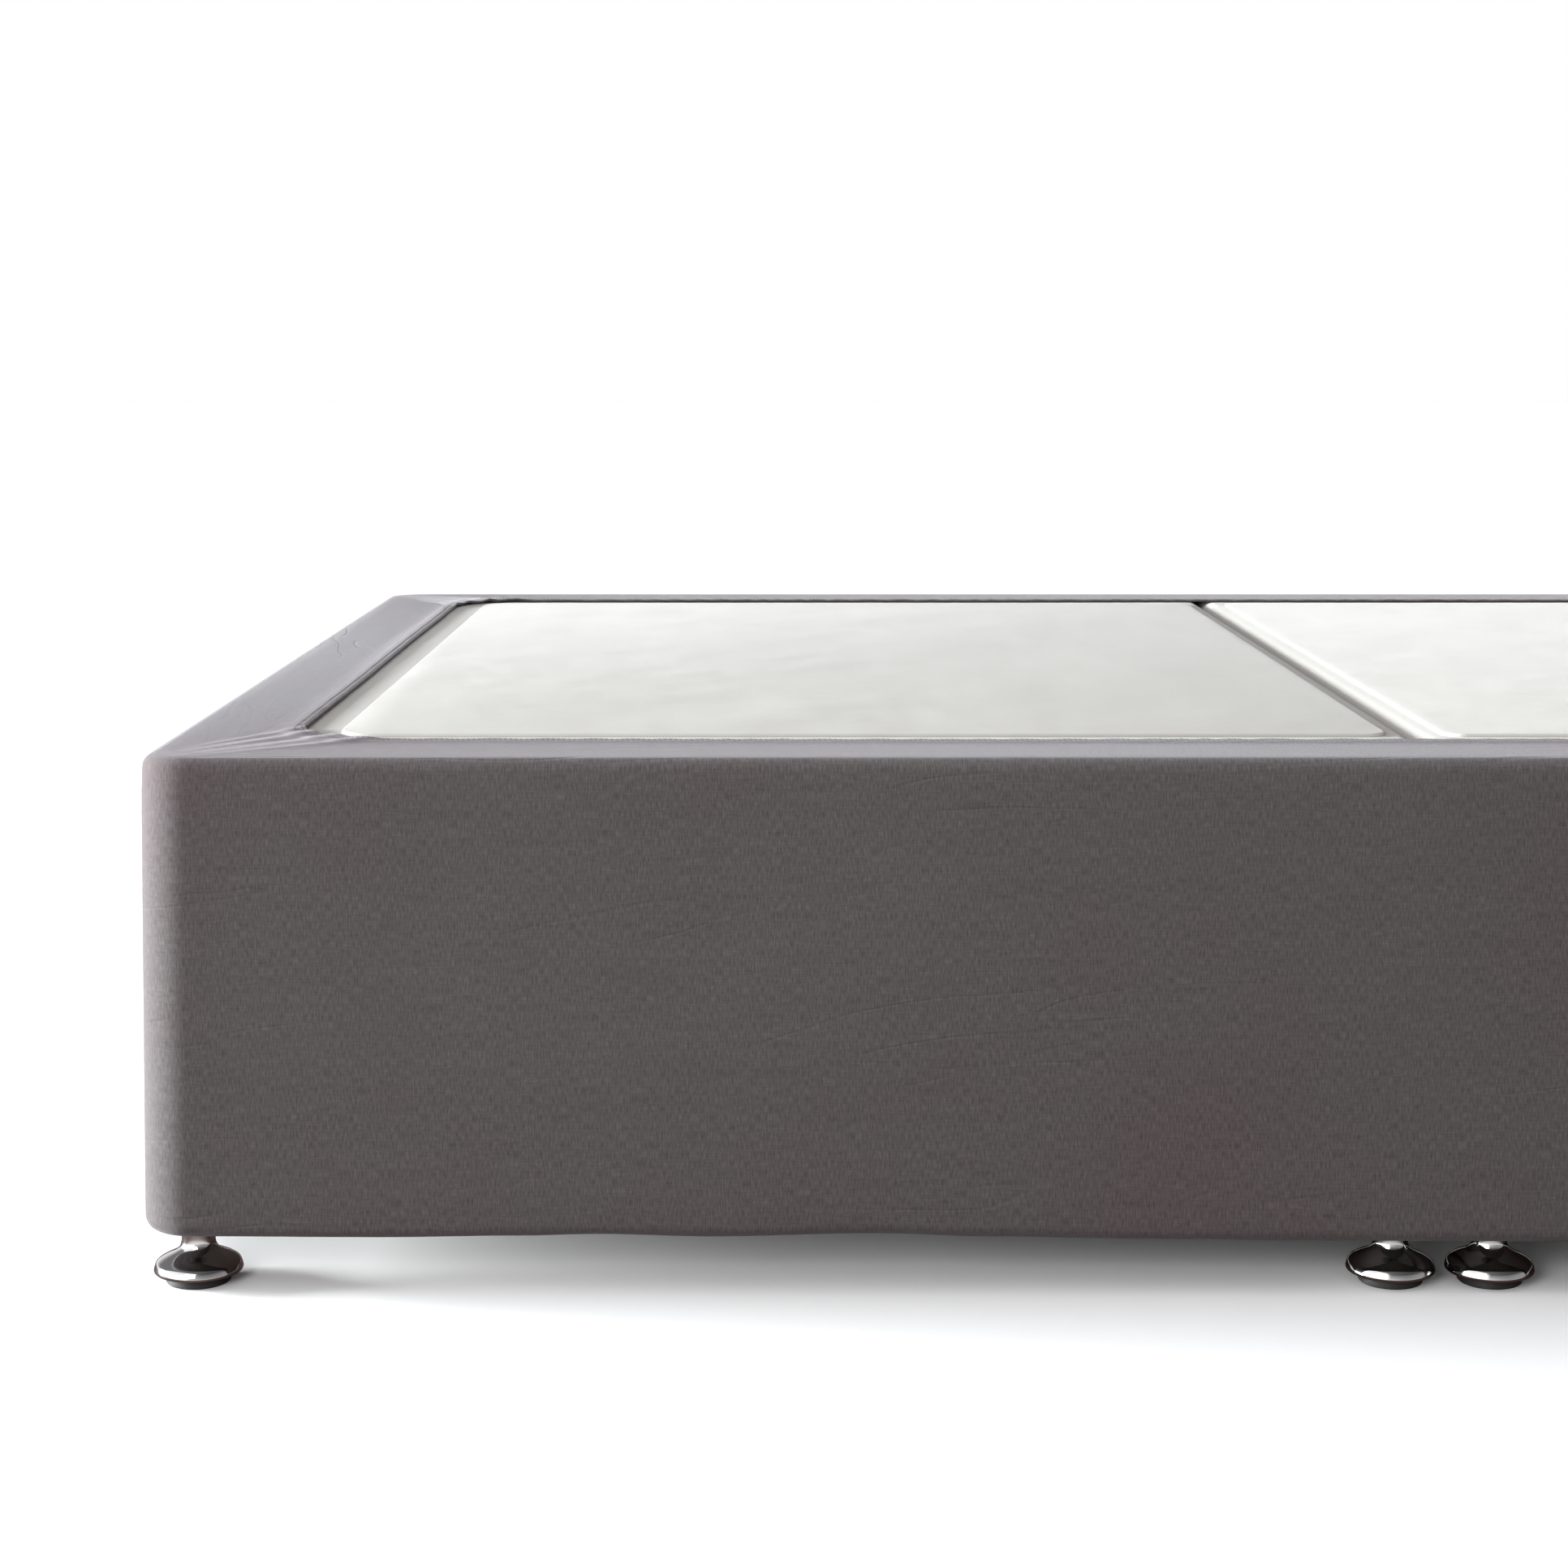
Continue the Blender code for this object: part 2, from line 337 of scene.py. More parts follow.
def wrap_stations():
    """One dict for each point round the wrap, in the order of ring_points."""
    lengths = [2 * BASE_HIGH.x - 2 * WRAP_CORNER, 2 * BASE_HIGH.y - 2 * WRAP_CORNER] * 2
    gathers = [(i / (len(CORNER_GATHERS) - 1), height) for i, height in enumerate(CORNER_GATHERS)]
    stations = []
    for side, length in enumerate(lengths):
        for i in range(CORNER_STEPS + 1):
            share = i / CORNER_STEPS
            gather = smooth_table(gathers, share) * MM
            stations.append({"side": side, "turn": share, "drop": LOWER_EDGE[0][1] * MM, "gather": gather})
        steps = round(length / STATION_SPACING)
        for j in range(1, steps):
            along = j / steps
            share = along if side in (1, 2) else 1 - along
            drop = smooth_table(LOWER_EDGE, share) * MM
            stations.append({"side": side, "along": along, "share": share, "drop": drop, "gather": 0.0})
    return stations


def ring_points(stations, out, corner):
    """The (x, y) of each station on the outline that lies out beyond the base's sides."""
    half = (BASE_HIGH.x + out, BASE_HIGH.y + out)
    quadrants = ((1, 1), (-1, 1), (-1, -1), (1, -1))
    centres = [Vector((sx * (half[0] - corner), sy * (half[1] - corner))) for sx, sy in quadrants]

    def on_arc(k, share):
        angle = math.radians(90 * (k % 4) + 90 * share)
        return centres[k % 4] + corner * Vector((math.cos(angle), math.sin(angle)))

    points = []
    for station in stations:
        side = station["side"]
        if "turn" in station:
            points.append(on_arc(side, station["turn"]))
        else:
            points.append(on_arc(side, 1).lerp(on_arc(side + 1, 0), station["along"]))
    return np.array([tuple(p) for p in points])


def hem_rows(edge_out, level, side, hem):
    """Rows of a hem: its under layer, the fold, and the upper layer down to the single cloth.

    hem is (width, step), side is +1 above the base and -1 below it, and level the base's face there. The rows run
    from the raw edge inside the hem to the place where the cloth is single again.
    """
    width, step = hem
    under = level + side * HEM_UNDER_LAYER
    over = under + side * 2 * HEM_FOLD_RADIUS
    rows = []
    for reach in (width - HEM_TURN_IN_SHORT, 0.5 * width, HEM_FOLD_RADIUS):
        rows.append({"out": edge_out + reach, "z": under, "face": side})
    for i in range(1, FOLD_STEPS):
        angle = math.pi * i / FOLD_STEPS
        out = edge_out + HEM_FOLD_RADIUS * (1 - math.sin(angle))
        z = under + side * HEM_FOLD_RADIUS * (1 - math.cos(angle))
        rows.append({"out": out, "z": z, "face": side})
    for reach in (HEM_FOLD_RADIUS, *STITCH_ROWS, width):
        rows.append({"out": edge_out + reach, "z": over, "face": side, "stitched": reach in STITCH_ROWS})
    single = level + side * WALL_OUT
    rows.append({"out": edge_out + width + 0.5 * step, "z": 0.5 * (over + single), "face": side})
    rows.append({"out": edge_out + width + step, "z": single, "face": side})
    return rows


def edge_rows(level, side):
    """Rows round the base's top (side +1) or bottom (side -1) edge, from its flat face to its wall."""
    centre_out = WALL_OUT - EDGE_RADIUS
    centre_z = level + side * (WALL_OUT - EDGE_RADIUS)
    rows = []
    for i in range(EDGE_STEPS + 1):
        angle = 0.5 * math.pi * (1 - i / EDGE_STEPS)
        out = centre_out + EDGE_RADIUS * math.cos(angle)
        z = centre_z + side * EDGE_RADIUS * math.sin(angle)
        rows.append({"out": out, "z": z, "face": side})
    return rows


def wrap_rows():
    """Rows down the wrap, from the raw edge inside its top hem to the raw edge inside its bottom hem."""
    top = hem_rows(-TOP_LIP, BASE_TOP, 1, TOP_HEM)
    lip_start, lip_end = top[-1]["out"], WALL_OUT - EDGE_RADIUS
    for i in range(1, LIP_ROWS):
        out = lip_start + (lip_end - lip_start) * i / LIP_ROWS
        top.append({"out": out, "z": BASE_TOP + WALL_OUT, "face": 1})
    top += edge_rows(BASE_TOP, 1)
    bottom = hem_rows(-BOTTOM_LIP, BASE_BOTTOM, -1, BOTTOM_HEM) + edge_rows(BASE_BOTTOM, -1)
    wall_high, wall_low = top[-1]["z"], bottom[-1]["z"]
    wall = []
    for i in range(1, WALL_ROWS):
        wall.append({"out": WALL_OUT, "z": wall_high + (wall_low - wall_high) * i / WALL_ROWS, "face": 0})
    return top + wall + bottom[::-1]


def row_corner(row):
    """Radius of the outline's corners: the wall's own, easing to the hem's along each turned-in lip."""
    start = WALL_OUT - EDGE_RADIUS
    if row["out"] >= start:
        return WRAP_CORNER + row["out"]
    above = row["z"] > BASE_MIDDLE
    lip, hem_corner = (TOP_LIP, TOP_LIP_CORNER) if above else (BOTTOM_LIP, BOTTOM_LIP_CORNER)
    share = (start - row["out"]) / (start + lip)
    return (WRAP_CORNER + start) * (1 - share) + hem_corner * share


def crease_rise(share, height):
    """How far the tension creases lift the cloth at this place on a side."""
    rise = 0.0
    for start, start_height, end, end_height, lift, half_width in CREASES:
        along = (share - start) / (end - start)
        if not 0.0 < along < 1.0:
            continue
        gap = (height - start_height - (end_height - start_height) * along) / (half_width * MM)
        rise += lift * MM * math.sin(math.pi * along) * math.exp(-gap * gap)
    return rise


def unevenness(row, x, y, z=1.0, shift=0.0):
    """Noise of a (size, waves a metre on the level, waves a metre upward) row at this place."""
    size, level, upward = row
    return size * noise.noise(Vector((level * x + shift, level * y, upward * z)))


def wall_swell(x, y, z):
    """Slow unevenness of the stretched side."""
    return SWELL + unevenness(SLOW_SWELL, x, y, z) + unevenness(FINER_SWELL, x, y, z, FINER_SWELL_SHIFT)


def hem_ripple(x, y):
    """Height of the small ripples that the elastic draws into the hem."""
    along = RIPPLES_PER_METRE * (x + y) + unevenness(RIPPLE_DRIFT, x, y)
    strength = 0.5 + unevenness(RIPPLE_STRENGTH, x, y)
    return (0.5 + 0.5 * math.sin(math.tau * along)) * strength * RIPPLE_HEIGHT


def outward_way(x, y, station):
    """Level direction away from the base at a station."""
    if "turn" in station:
        angle = math.radians(90 * station["side"] + 90 * station["turn"])
        return Vector((math.cos(angle), math.sin(angle), 0))
    if station["side"] in (1, 3):
        return Vector((math.copysign(1, x), 0, 0))
    return Vector((0, math.copysign(1, y), 0))


def settled_point(x, y, row, station):
    """Moves a point of the tight wrap to where the cloth really lies."""
    z = row["z"]
    middle = Vector((x, y, 0))
    outward = outward_way(x, y, station)
    above = z > BASE_MIDDLE
    lip = TOP_LIP if above else BOTTOM_LIP
    inboard = min(max((WALL_OUT - EDGE_RADIUS - row["out"]) / lip, 0.0), 1.0)
    if above:
        lift = station["gather"] * inboard ** GATHER_FADE + hem_ripple(x, y) * inboard ** RIPPLE_FADE
        middle += outward * unevenness(HEM_WANDER, x, y) * inboard
    else:
        ramp = min(max(1 - (z - BASE_BOTTOM) / SAG_RAMP, 0.0), 1.0)
        lift = -station["drop"] * ramp * ramp * (3 - 2 * ramp) * (1 - 0.5 * inboard)
    if row["face"] == 0:
        edge_fade = min((BASE_TOP - z) / EDGE_FADE, (z - BASE_BOTTOM) / EDGE_FADE, 1.0)
        swell = wall_swell(x, y, z) * max(edge_fade, 0.0)
        if "share" in station:
            swell += crease_rise(station["share"], z)
        middle += outward * swell
    return (middle.x, middle.y, z + lift)


def section_lengths(rows):
    """How far along the cloth each row lies, in metres from the first."""
    lengths = [0.0]
    for before, after in zip(rows, rows[1:]):
        lengths.append(lengths[-1] + math.hypot(after["out"] - before["out"], after["z"] - before["z"]))
    return lengths


def ring_lengths(points):
    """How far round each station lies, and the whole way round as a last entry."""
    steps = np.linalg.norm(np.roll(points, -1, axis=0) - points, axis=1)
    return np.concatenate([[0.0], np.cumsum(steps)])


def build_wrap():
    """The wrap as one sheet. Also returns the stitched rows of its top and bottom hem, as closed lines of points."""
    stations, rows = wrap_stations(), wrap_rows()
    grid = []
    for row in rows:
        ring = ring_points(stations, row["out"], row_corner(row))
        grid.append([settled_point(x, y, row, station) for (x, y), station in zip(ring, stations)])
    count = len(stations)
    faces = []
    for i in range(len(rows) - 1):
        for j in range(count):
            k = (j + 1) % count
            faces.append((i * count + j, i * count + k, (i + 1) * count + k, (i + 1) * count + j))
    mesh = bpy.data.meshes.new("jersey_wrap")
    mesh.from_pydata([point for line in grid for point in line], [], faces)
    around = ring_lengths(ring_points(stations, WALL_OUT, WRAP_CORNER))
    down = section_lengths(rows)
    cloth_uv = mesh.uv_layers.new(name="cloth")
    places = []
    for i in range(len(rows) - 1):
        for j in range(count):
            places += [around[j], down[i], around[j + 1], down[i], around[j + 1], down[i + 1], around[j], down[i + 1]]
    cloth_uv.data.foreach_set("uv", places)
    wrap = add_object("jersey_wrap", mesh)
    turn_faces_outward(wrap)
    apply_modifier(wrap, "cloth thickness", "SOLIDIFY", thickness=CLOTH, offset=0.0, use_even_offset=True)
    bpy.ops.object.shade_smooth()
    lines = {"top": [], "bottom": []}
    for row, line in zip(rows, grid):
        if row.get("stitched"):
            lines["top" if row["face"] > 0 else "bottom"].append(line)
    return wrap, lines


def stitch_template():
    """Points and faces of one stitch along +X, its ends bent down into the cloth."""
    half = 0.5 * STITCH_LENGTH
    rings = []
    for share, size, lift in STITCH_RINGS:
        ring = []
        for side, up in ((0, 1), (1, 0), (0, -1), (-1, 0)):
            ring.append((share * half, side * size * STITCH_RADIUS, (up * size + lift) * STITCH_RADIUS))
        rings.append(ring)
    faces = [(0, 1, 2, 3), (15, 14, 13, 12)]
    for i in range(3):
        for j in range(4):
            k = (j + 1) % 4
            faces.append((4 * i + j, 4 * i + 4 + j, 4 * i + 4 + k, 4 * i + k))
    return np.array([p for ring in rings for p in ring]), np.array(faces)


def points_on_line(closed, reach, places):
    """Points of a closed line at these places, where reach is how far along it its own points lie."""
    return np.stack([np.interp(places, reach, closed[:, axis]) for axis in range(3)], axis=1)


def build_stitches(name, lines, up):
    """Rows of stitches on closed lines of points. up is +1 on the wrap's top lip and -1 on its bottom lip."""
    shape, shape_faces = stitch_template()
    points, faces = [], []
    for line in lines:
        closed = np.array([*line, line[0]])
        reach = ring_lengths(closed[:-1])
        count = int(reach[-1] / STITCH_PITCH)
        places = (np.arange(count) + 0.5) * reach[-1] / count
        centres = points_on_line(closed, reach, places)
        forward = points_on_line(closed, reach, (places + MM) % reach[-1]) - centres
        forward /= np.linalg.norm(forward, axis=1, keepdims=True)
        upward = np.tile([0.0, 0.0, float(up)], (count, 1))
        upward -= (upward * forward).sum(axis=1, keepdims=True) * forward
        upward /= np.linalg.norm(upward, axis=1, keepdims=True)
        sideways = np.cross(upward, forward)
        centres = centres + upward * (0.5 * CLOTH + STITCH_LIFT)
        axes = np.stack([forward, sideways, upward], axis=1)
        placed = centres[:, None, :] + np.einsum("pa,nab->npb", shape, axes)
        start = sum(len(p) for p in points)
        points.append(placed.reshape(-1, 3))
        offsets = start + len(shape) * np.arange(count)
        faces.append((shape_faces[None] + offsets[:, None, None]).reshape(-1, 4))
    mesh = bpy.data.meshes.new(name)
    mesh.from_pydata(np.vstack(points).tolist(), [], np.vstack(faces).tolist())
    stitches = add_object(name, mesh)
    turn_faces_outward(stitches)
    bpy.ops.object.shade_smooth()
    return stitches


# Divan base and glides

def build_base_half(name, node):
    """One half of the base: a block with rounded edges and a low raised deck on it. The halves meet at the middle."""
    low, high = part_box(node)
    joint_end = min((low.x, high.x), key=abs)

    def block_corner(x):
        return JOINT_CORNER if x == joint_end else BASE_CORNER

    def deck_corner(x):
        return JOINT_CORNER if abs(x - joint_end) < 2 * DECK_JOINT_MARGIN else DECK_CORNER

    block_high = Vector((high.x, high.y, BASE_TOP))
    block = rounded_block(name, low.copy(), block_high, block_corner, BASE_EDGE, True, BASE_SEGMENTS)
    margins = [DECK_JOINT_MARGIN if x == joint_end else DECK_MARGIN for x in (low.x, high.x)]
    deck_low = Vector((low.x + margins[0], low.y + DECK_MARGIN, BASE_TOP - 0.5 * BASE_EDGE))
    deck_high = Vector((high.x - margins[1], high.y - DECK_MARGIN, high.z))
    deck = rounded_block(name + "_deck", deck_low, deck_high, deck_corner, DECK_EDGE, False, DECK_SEGMENTS)
    apply_modifier(block, "deck", "BOOLEAN", object=deck, operation="UNION", solver="EXACT")
    bpy.data.objects.remove(deck)
    make_active(block)
    bpy.ops.object.shade_smooth_by_angle(angle=BASE_SMOOTH_ANGLE)
    return block


def turned_piece(name, profile, sides):
    """A solid turned about Z from (radius, height) rows in metres, drawn out ring by ring from a filled disc."""
    (radius, height), *others = profile
    deselect_all()
    bpy.ops.mesh.primitive_circle_add(vertices=sides, radius=radius, fill_type="NGON", location=(0, 0, height))
    piece = bpy.context.object
    piece.name = name
    bpy.ops.object.transform_apply(location=True, rotation=True, scale=True)
    bpy.ops.object.mode_set(mode="EDIT")
    bpy.ops.mesh.select_mode(type="FACE")
    bpy.ops.mesh.select_all(action="SELECT")
    for next_radius, next_height in others:
        step = (0, 0, next_height - height)
        bpy.ops.mesh.extrude_region_move(TRANSFORM_OT_translate={"value": step})
        grow = next_radius / radius
        bpy.ops.transform.resize(value=(grow, grow, 1), center_override=(0, 0, next_height))
        radius, height = next_radius, next_height
    bpy.ops.object.mode_set(mode="OBJECT")
    turn_faces_outward(piece)
    bpy.ops.object.shade_smooth_by_angle(angle=TURNED_SMOOTH_ANGLE)
    return piece


def build_bell():
    profile = [(radius * MM, height * MM) for radius, height in BELL_PROFILE]
    return turned_piece("bell", profile, BELL_SIDES)


def build_pad():
    profile = [
        (PAD_RADIUS - PAD_BEVEL, PAD_HEIGHT),
        (PAD_RADIUS, PAD_HEIGHT - PAD_BEVEL),
        (PAD_RADIUS, PAD_BEVEL),
        (PAD_RADIUS - PAD_BEVEL, 0.0),
    ]
    return turned_piece("pad", profile, PAD_SIDES)


def copies_at_nodes(pattern, prefix, node_prefix):
    """Copies of a turned piece, each with its own mesh, standing where the nodes of that name stand."""
    made = []
    for node in sorted(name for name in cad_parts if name.startswith(node_prefix)):
        low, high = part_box(node)
        copy = add_object(prefix + node[len(node_prefix):], pattern.data.copy())
        copy.data.transform(Matrix.Translation(((low.x + high.x) / 2, (low.y + high.y) / 2, 0)))
        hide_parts(node)
        made.append(copy)
    bpy.data.objects.remove(pattern)
    return made


# Shader nodes, groups and materials

def add_node(tree, kind, place, settings=None, **inputs):
    """A node in this column and row of the tree. inputs are values, or sockets that are linked to it, by the name of
    the node's input or as _0, _1 and so on by its number."""
    node = tree.nodes.new(kind)
    node.location = (200 * place[0], -180 * place[1])
    for key, value in (settings or {}).items():
        setattr(node, key, value)
    for name, value in inputs.items():
        target = node.inputs[int(name[1:])] if name[1:].isdigit() else node.inputs[name.replace("_", " ")]
        if isinstance(value, bpy.types.NodeSocket):
            tree.links.new(value, target)
        else:
            target.default_value = value
    return node


def maths(tree, operation, place, *values):
    inputs = {f"_{i}": value for i, value in enumerate(values)}
    return add_node(tree, "ShaderNodeMath", place, {"operation": operation}, **inputs).outputs[0]


def distance(tree, place, value, middle):
    """How far a value is from the middle one."""
    gap = maths(tree, "SUBTRACT", place, value, middle)
    return maths(tree, "ABSOLUTE", (place[0] + 1, place[1]), gap)


def map_range(tree, place, value, start, end, first, last, eased=False):
    """A value from start to end, moved onto first to last. eased makes it start and stop softly."""
    settings = {"interpolation_type": "SMOOTHSTEP"} if eased else None
    return add_node(
        tree, "ShaderNodeMapRange", place, settings,
        Value=value, From_Min=start, From_Max=end, To_Min=first, To_Max=last,
    ).outputs[0]


def range_product(tree, place, rows, eased=False):
    """Product of the values of (value, start, end, first, last) rows, each moved by map_range."""
    column, line = place
    product = 1.0
    for step, row in enumerate(rows):
        moved = map_range(tree, (column, line + step), *row, eased=eased)
        product = maths(tree, "MULTIPLY", (column + 1 + step, line + step), moved, product)
    return product


def value_mix(tree, place, factor, first, second):
    return add_node(
        tree, "ShaderNodeMix", place, {"data_type": "FLOAT"}, _0=factor, _2=first, _3=second,
    ).outputs[0]


def colour_mix(tree, place, factor, first, second, blend="MIX"):
    return add_node(
        tree, "ShaderNodeMix", place, {"data_type": "RGBA", "blend_type": blend}, _0=factor, _6=first, _7=second,
    ).outputs[2]


def noise_texture(tree, place, vector, scale, detail):
    return add_node(tree, "ShaderNodeTexNoise", place, Vector=vector, Scale=scale, Detail=detail).outputs[0]


def stretched_noise(tree, place, vector, scale, detail, turn=0.0):
    """Noise with its own scale on each axis, turned by an angle about Z."""
    column, row = place
    stretched = add_node(tree, "ShaderNodeMapping", place, Vector=vector, Rotation=(0, 0, turn), Scale=scale)
    return noise_texture(tree, (column + 1, row), stretched.outputs[0], 1.0, detail)


def bump(tree, place, height, strength, depth, under=None):
    """Normal of a bump, on top of that of another one if under is given."""
    node = add_node(tree, "ShaderNodeBump", place, Height=height, Strength=strength, Distance=depth)
    if under is not None:
        tree.links.new(under, node.inputs["Normal"])
    return node.outputs[0]


def new_group(name, inputs, output):
    """A shader group with inputs {name: default}, where None is a vector, and one float output. Also returns the
    sockets of its inputs."""
    group = bpy.data.node_groups.new(name, "ShaderNodeTree")
    for socket, default in inputs.items():
        kind = "NodeSocketVector" if default is None else "NodeSocketFloat"
        made = group.interface.new_socket(name=socket, in_out="INPUT", socket_type=kind)
        if default is not None:
            made.default_value = default
    group.interface.new_socket(name=output, in_out="OUTPUT", socket_type="NodeSocketFloat")
    return group, group.nodes.new("NodeGroupInput").outputs


def end_group(group, column, value):
    """Sends a value out of a group, from a node in this column."""
    add_node(group, "NodeGroupOutput", (column, 0), _0=value)
    return group


def place_group(tree, group, place, **inputs):
    return add_node(tree, "ShaderNodeGroup", place, {"node_tree": group}, **inputs).outputs[0]


def knit_group():
    """Plain jersey knit: V-shaped loops in upright wales. Height runs from 0 in the gaps to 1 on the yarn."""
    group, given = new_group("jersey knit", {"Vector": None, "Wale": 0.001, "Course": 0.0008}, "Height")
    split = add_node(group, "ShaderNodeSeparateXYZ", (1, 0), _0=given["Vector"]).outputs
    wales = maths(group, "DIVIDE", (2, 0), split["X"], given["Wale"])
    across = distance(group, (4, 0), maths(group, "FRACT", (3, 0), wales), 0.5)
    across = maths(group, "MULTIPLY", (6, 0), across, 2.0)
    leg = distance(group, (7, 0), across, 0.5)
    rounded = map_range(group, (9, 0), leg, 0.5, 0.1, 0.0, 1.0, eased=True)
    courses = maths(group, "DIVIDE", (2, 1), split["Y"], given["Course"])
    lean = maths(group, "MULTIPLY", (6, 1), across, KNIT_LEAN)
    leaning = maths(group, "ADD", (7, 1), courses, lean)
    down = distance(group, (9, 1), maths(group, "FRACT", (8, 1), leaning), 0.5)
    loop = map_range(group, (11, 1), down, 0.5, 0.12, 0.0, 1.0, eased=True)
    return end_group(group, 14, maths(group, "MULTIPLY", (12, 0), rounded, loop))


def mottle_group():
    """Soft uneven shade from 0 to 1: broad patches with finer mottling in them."""
    inputs = {"Vector": None, "Broad": 3.0, "Fine": 40.0, "Fine share": 0.3}
    group, given = new_group("soft mottling", inputs, "Shade")
    broad = noise_texture(group, (1, 0), given["Vector"], given["Broad"], detail=2.0)
    fine = noise_texture(group, (1, 1), given["Vector"], given["Fine"], detail=3.0)
    return end_group(group, 4, value_mix(group, (2, 0), given["Fine share"], broad, fine))


def weave_group():
    """Plain weave of warp and weft threads on two axes of the vector. Height is 0 in the gaps and 1 on a thread."""
    group, given = new_group("plain weave", {"Vector": None, "Pitch": 0.0011}, "Height")
    split = add_node(group, "ShaderNodeSeparateXYZ", (1, 0), _0=given["Vector"]).outputs
    waves = []
    for row, axis in enumerate(("X", "Y")):
        turns = maths(group, "DIVIDE", (2, row), split[axis], given["Pitch"])
        angle = maths(group, "MULTIPLY", (3, row), turns, math.pi)
        waves.append(maths(group, "SINE", (4, row), angle))
    product = maths(group, "MULTIPLY", (5, 0), *waves)
    return end_group(group, 8, maths(group, "MULTIPLY_ADD", (6, 0), product, 0.5, 0.5))


def crease_group():
    """Sparse hairline creases that run nearly level. Height is 1 on the cloth and dips to 0 in a crease."""
    inputs = {"Vector": None, "Length": 0.13, "Spacing": 0.03, "Width": 0.02, "Share": 0.57}
    group, given = new_group("hairline creases", inputs, "Height")
    split = add_node(group, "ShaderNodeSeparateXYZ", (1, 0), _0=given["Vector"]).outputs
    along = maths(group, "DIVIDE", (2, 0), split["X"], given["Length"])
    slope = maths(group, "MULTIPLY_ADD", (2, 1), split["X"], CREASE_SLOPE, split["Y"])
    across = maths(group, "DIVIDE", (3, 1), slope, given["Spacing"])
    place = add_node(group, "ShaderNodeCombineXYZ", (4, 0), X=along, Y=across).outputs[0]
    swirl = noise_texture(group, (5, 0), place, scale=1.0, detail=1.0)
    gap = distance(group, (6, 0), swirl, 0.5)
    line = map_range(group, (8, 0), gap, 0.0, given["Width"], 1.0, 0.0, eased=True)
    patches = noise_texture(group, (5, 2), place, CREASE_PATCHES, detail=0.0)
    near = maths(group, "ADD", (6, 2), given["Share"], CREASE_FADE)
    shown = map_range(group, (8, 2), patches, given["Share"], near, 0.0, 1.0, eased=True)
    depth = maths(group, "MULTIPLY", (9, 1), line, shown)
    return end_group(group, 12, maths(group, "SUBTRACT", (10, 1), 1.0, depth))


def new_material(name, roughness, metallic=0.0, **shader_values):
    """A material with its constants on the shader's own sockets. Also returns its tree and shader."""
    material = bpy.data.materials.new(name)
    material.use_nodes = True
    shader = material.node_tree.nodes["Principled BSDF"]
    shader.inputs["Roughness"].default_value = roughness
    shader.inputs["Metallic"].default_value = metallic
    for key, value in shader_values.items():
        shader.inputs[key.replace("_", " ")].default_value = value
    return material, material.node_tree, shader


def object_place(tree):
    return add_node(tree, "ShaderNodeTexCoord", (-9, 0)).outputs["Object"]


def connect(tree, shader, **sockets):
    """Links sockets to the shader's inputs of these names."""
    for name, socket in sockets.items():
        tree.links.new(socket, shader.inputs[name.replace("_", " ")])


def jersey_material(knit, mottle, crease):
    """Charcoal brushed jersey: fine upright wales, short fibre streaks, a soft nap and hairline creases."""
    material, tree, shader = new_material(
        "charcoal jersey", 0.92,
        Sheen_Weight=0.35, Sheen_Roughness=0.45, Sheen_Tint=(0.62, 0.60, 0.64, 1.0), Specular_IOR_Level=0.2,
    )
    place = add_node(tree, "ShaderNodeUVMap", (-9, 0), {"uv_map": "cloth"}).outputs[0]
    loops = place_group(tree, knit, (-7, 1), Vector=place, Wale=KNIT_WALE, Course=KNIT_COURSE)
    streaks = stretched_noise(tree, (-7, 2), place, FIBRE_STREAKS, detail=2.0)
    threads = stretched_noise(tree, (-7, 3), place, YARN_LINES, detail=2.0)
    patches = place_group(tree, mottle, (-7, 4), Vector=place, Broad=2.6, Fine=22.0, Fine_share=0.15)
    drags = stretched_noise(tree, (-7, 5), place, DRAG_MARKS, detail=3.0, turn=DRAG_TURN)
    colour = colour_mix(tree, (-5, 0), patches, *JERSEY_COLOURS)
    # Each mark's own range, and the shades that it is moved onto. The loops' row is painted shade of the knit's
    # relief: darker in its gaps and lighter on the yarn.
    shade = range_product(tree, (-5, 1), (
        (streaks, 0.3, 0.7, 0.72, 1.28),
        (threads, 0.3, 0.7, 0.90, 1.10),
        (loops, 0.0, 1.0, 0.82, 1.08),
        (drags, 0.3, 0.7, 0.97, 1.03),
    ))
    colour = colour_mix(tree, (-1, 0), 1.0, colour, shade, "MULTIPLY")
    nap = maths(tree, "MULTIPLY", (-4, 6), streaks, 0.9)
    height = maths(tree, "ADD", (-3, 6), nap, loops)
    lines = place_group(tree, crease, (-5, 7), Vector=place, Length=0.20, Spacing=0.030, Width=0.032, Share=0.55)
    folds = bump(tree, (-3, 7), lines, strength=0.8, depth=CREASE_DEPTH)
    surface = bump(tree, (-2, 6), height, strength=0.5, depth=JERSEY_DEPTH, under=folds)
    connect(tree, shader, Base_Color=colour, Normal=surface)
    return material


def thread_material():
    """Charcoal sewing thread with a fine ply."""
    material, tree, shader = new_material("charcoal thread", 0.6, Sheen_Weight=0.2, Specular_IOR_Level=0.4)
    ply = noise_texture(tree, (-5, 0), object_place(tree), scale=1800.0, detail=1.0)
    colour = colour_mix(tree, (-3, 0), ply, *THREAD_COLOURS)
    connect(tree, shader, Base_Color=colour, Normal=bump(tree, (-3, 2), ply, strength=0.4, depth=THREAD_DEPTH))
    return material


